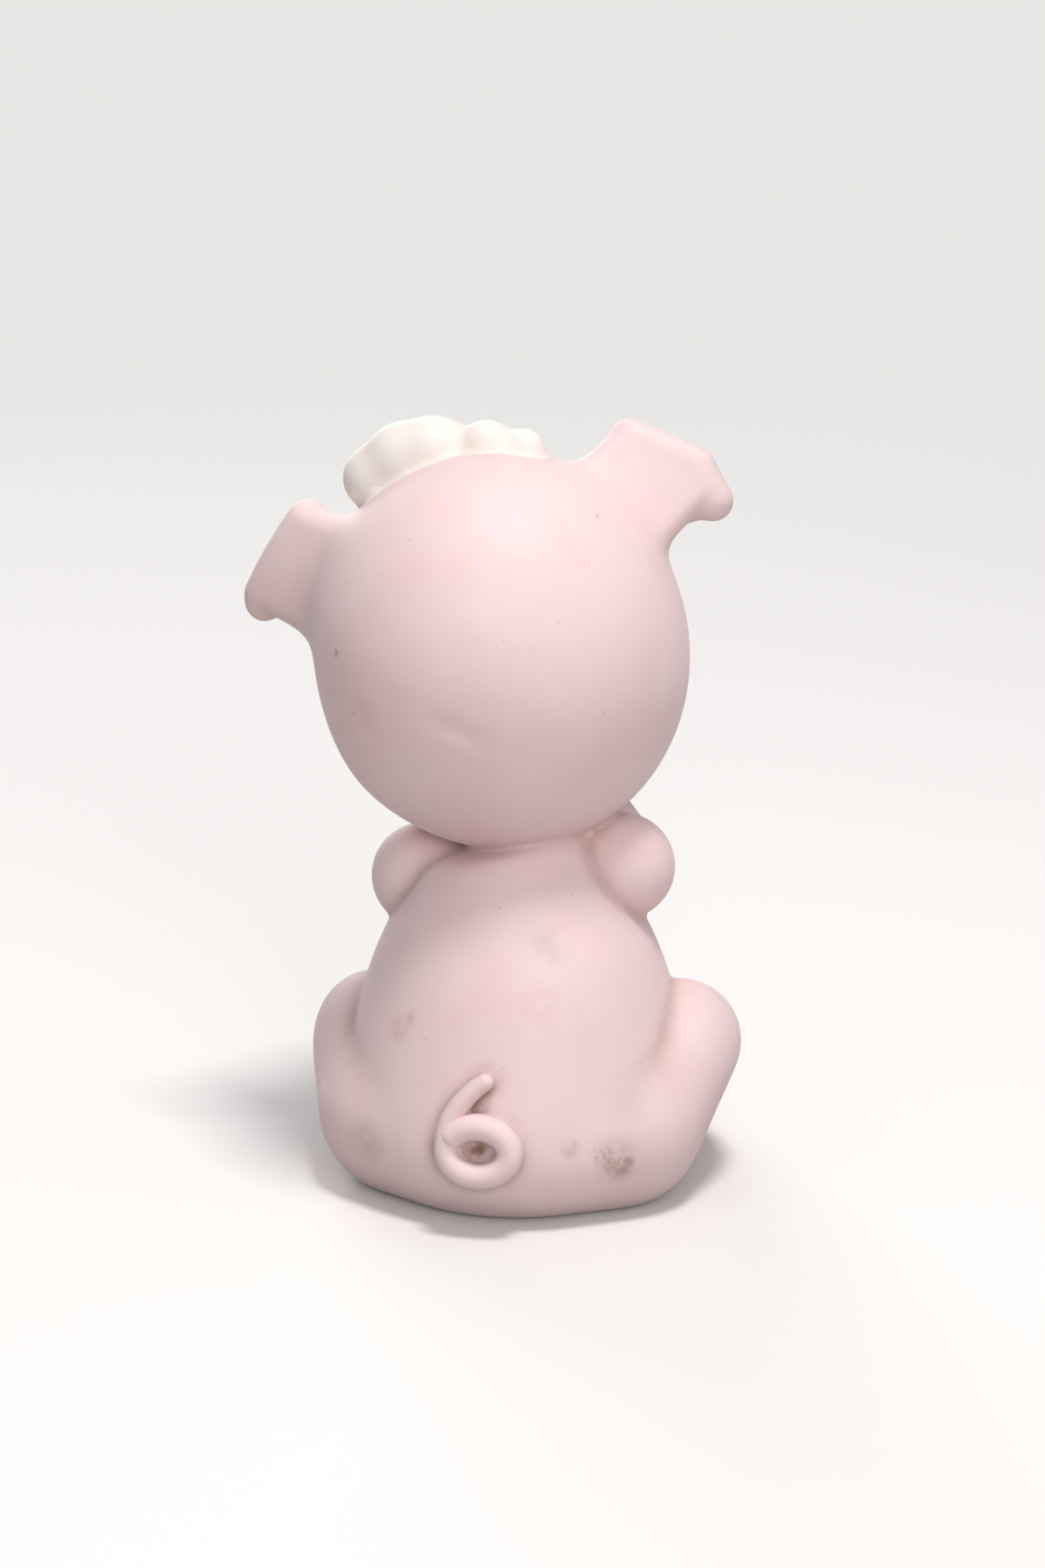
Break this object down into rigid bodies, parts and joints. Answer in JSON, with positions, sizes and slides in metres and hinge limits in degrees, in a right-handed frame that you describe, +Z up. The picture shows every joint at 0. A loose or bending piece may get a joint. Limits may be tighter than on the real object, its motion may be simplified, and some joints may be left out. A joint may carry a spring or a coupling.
{
  "type": "pig figurine",
  "caption": "Small unglazed porcelain piglet that sits with its head tilted, its front trotters under its chin and a coiled tail on its back.",
  "frame": {"origin": "centre of the flat foot of the body, on the surface that the figurine stands on", "axes": "+Z up, -Y is the way the body faces, +X is the piglet's left side"},
  "size_m": [0.058, 0.0509, 0.0864],
  "materials": {
    "pink_bisque": "matt unglazed porcelain, tinted pale pink",
    "cream_bisque": "matt unglazed porcelain, cream white",
    "peach_bisque": "matt unglazed porcelain, tinted pale peach",
    "black_glaze": "black gloss glaze"
  },
  "bodies": {
    "root": {"body_shell": "pink_bisque", "head_shell": "pink_bisque", "snout": "pink_bisque", "ear_left": "pink_bisque", "ear_right": "pink_bisque", "eye_left": "black_glaze", "eye_right": "black_glaze", "hair_lock_1": "cream_bisque", "hair_lock_2": "cream_bisque", "hair_lock_3": "cream_bisque", "hair_lock_4": "cream_bisque", "hair_lock_5": "cream_bisque", "arm_left": "pink_bisque", "arm_right": "pink_bisque", "front_trotter_left": "peach_bisque", "front_trotter_right": "peach_bisque", "leg_left": "pink_bisque", "leg_right": "pink_bisque", "rear_trotter_left": "peach_bisque", "rear_trotter_right": "peach_bisque", "tail": "pink_bisque"}
  },
  "joints": []
}
